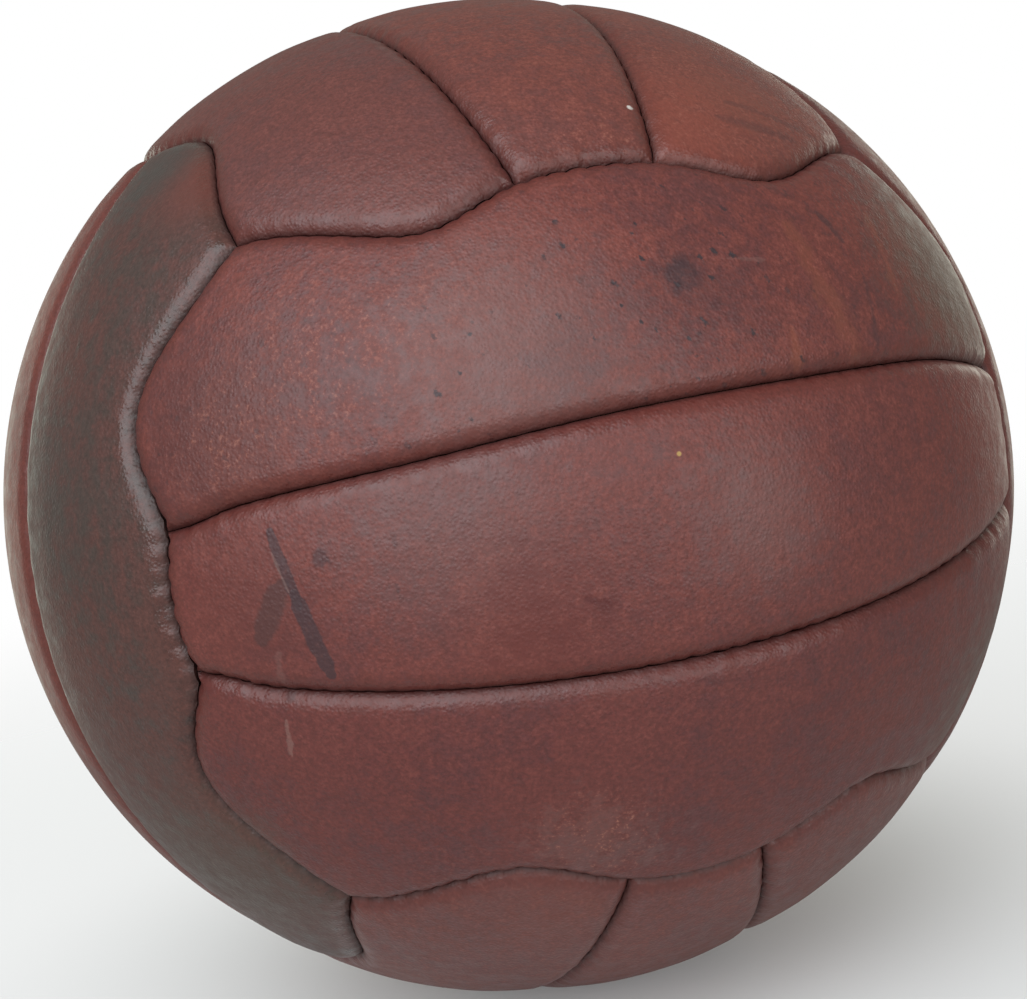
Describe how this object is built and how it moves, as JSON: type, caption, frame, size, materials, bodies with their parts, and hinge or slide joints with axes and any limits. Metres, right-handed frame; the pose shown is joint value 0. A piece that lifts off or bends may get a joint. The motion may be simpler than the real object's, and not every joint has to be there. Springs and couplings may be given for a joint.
{
  "type": "leather football",
  "caption": "Round hand-sewn leather ball of long panels in alternating strips, with canvas linings, turned-in seams, an inflated bladder and a flush valve.",
  "frame": {"origin": "centre of the ball", "axes": "+Z through the middle of the top side's centre panel, -Y through the middle of the front side's centre panel, +Y through the valve"},
  "size_m": [0.2196, 0.2194, 0.2196],
  "materials": {
    "chestnut leather": "worn, waxed",
    "russet leather": "worn, waxed",
    "dark leather": "darkened by handling",
    "cotton lining": "plain woven, matt",
    "waxed thread": "waxed",
    "bladder rubber": "matt",
    "valve rubber": "matt"
  },
  "bodies": {
    "root": {"front_centre_panel": "chestnut leather", "front_centre_lining": "cotton lining", "front_upper_panel": "chestnut leather", "front_upper_lining": "cotton lining", "front_lower_panel": "chestnut leather", "front_lower_lining": "cotton lining", "front_seam_thread": "waxed thread", "back_centre_panel": "chestnut leather", "back_centre_lining": "cotton lining", "back_upper_panel": "chestnut leather", "back_upper_lining": "cotton lining", "back_lower_panel": "chestnut leather", "back_lower_lining": "cotton lining", "back_seam_thread": "waxed thread", "top_centre_panel": "chestnut leather", "top_centre_lining": "cotton lining", "top_right_panel": "russet leather", "top_right_lining": "cotton lining", "top_left_panel": "russet leather", "top_left_lining": "cotton lining", "top_seam_thread": "waxed thread", "bottom_centre_panel": "chestnut leather", "bottom_centre_lining": "cotton lining", "bottom_right_panel": "chestnut leather", "bottom_right_lining": "cotton lining", "bottom_left_panel": "chestnut leather", "bottom_left_lining": "cotton lining", "bottom_seam_thread": "waxed thread", "right_centre_panel": "chestnut leather", "right_centre_lining": "cotton lining", "right_back_panel": "chestnut leather", "right_back_lining": "cotton lining", "right_front_panel": "chestnut leather", "right_front_lining": "cotton lining", "right_seam_thread": "waxed thread", "left_centre_panel": "dark leather", "left_centre_lining": "cotton lining", "left_back_panel": "dark leather", "left_back_lining": "cotton lining", "left_front_panel": "dark leather", "left_front_lining": "cotton lining", "left_seam_thread": "waxed thread", "bladder": "bladder rubber", "valve_body": "valve rubber", "valve_core": "valve rubber", "valve_washer": "valve rubber"}
  },
  "joints": []
}
